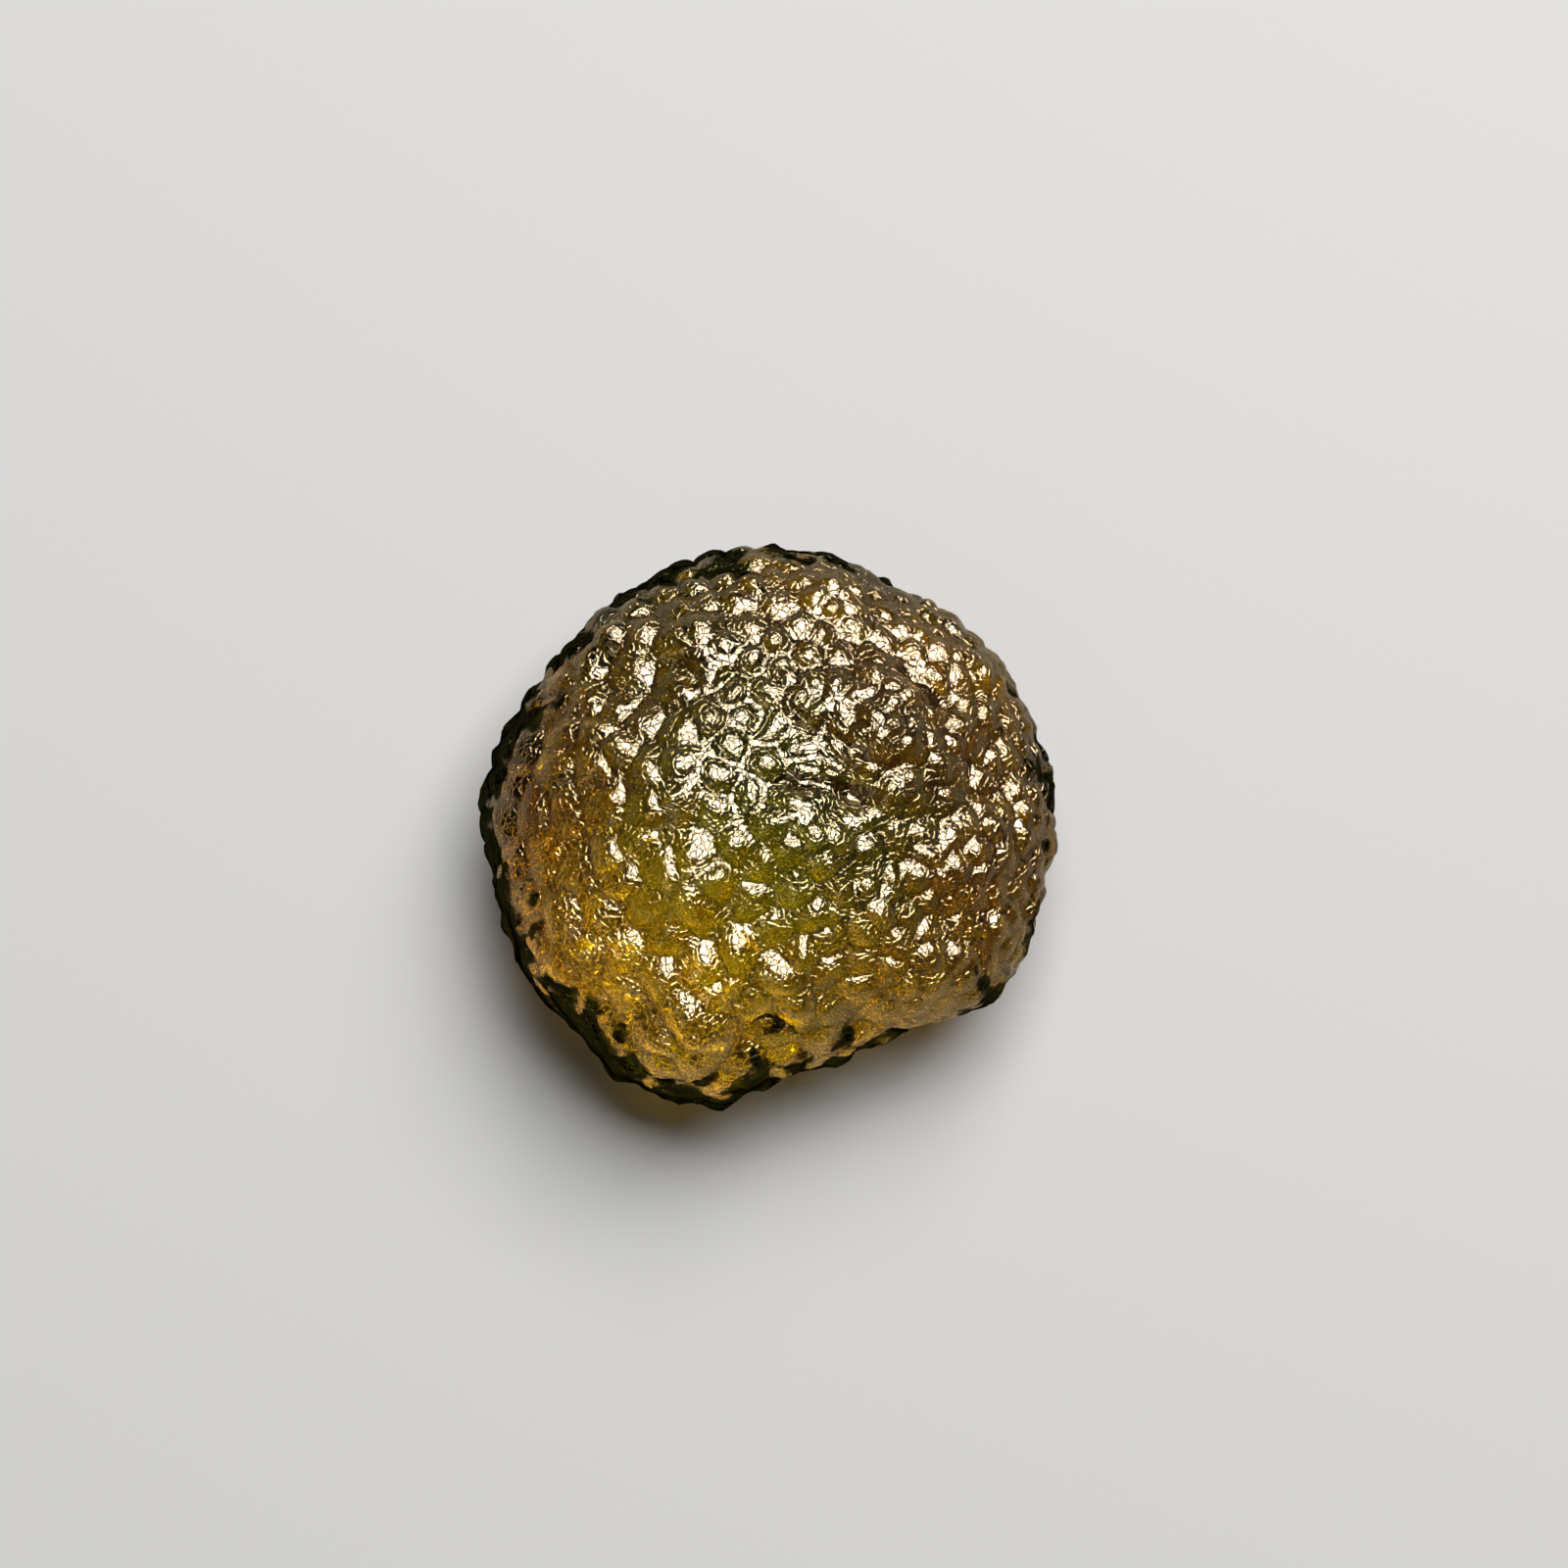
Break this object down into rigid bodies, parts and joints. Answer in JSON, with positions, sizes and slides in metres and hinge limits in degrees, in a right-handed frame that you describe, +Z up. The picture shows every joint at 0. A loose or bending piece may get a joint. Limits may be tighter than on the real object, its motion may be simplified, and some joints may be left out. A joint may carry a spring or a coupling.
{
  "type": "moldavite",
  "caption": "Round domed button of see-through olive-green natural glass with a pebbled, pitted skin, a thin serrated rim, one broken-off edge and a small flat spot to rest on.",
  "frame": {"origin": "in the plane of the flat spot the stone rests on, under the middle of its outline", "axes": "+Z up out of the pebbled crown, through the stone's thin direction, and -Y towards the edge that is broken off"},
  "size_m": [0.0212, 0.021, 0.0097],
  "materials": {
    "moldavite_glass": "see-through olive-green to amber-brown glass, glossy on the pebbles and duller in the grooves"
  },
  "bodies": {
    "root": {"moldavite": "moldavite_glass"}
  },
  "joints": []
}
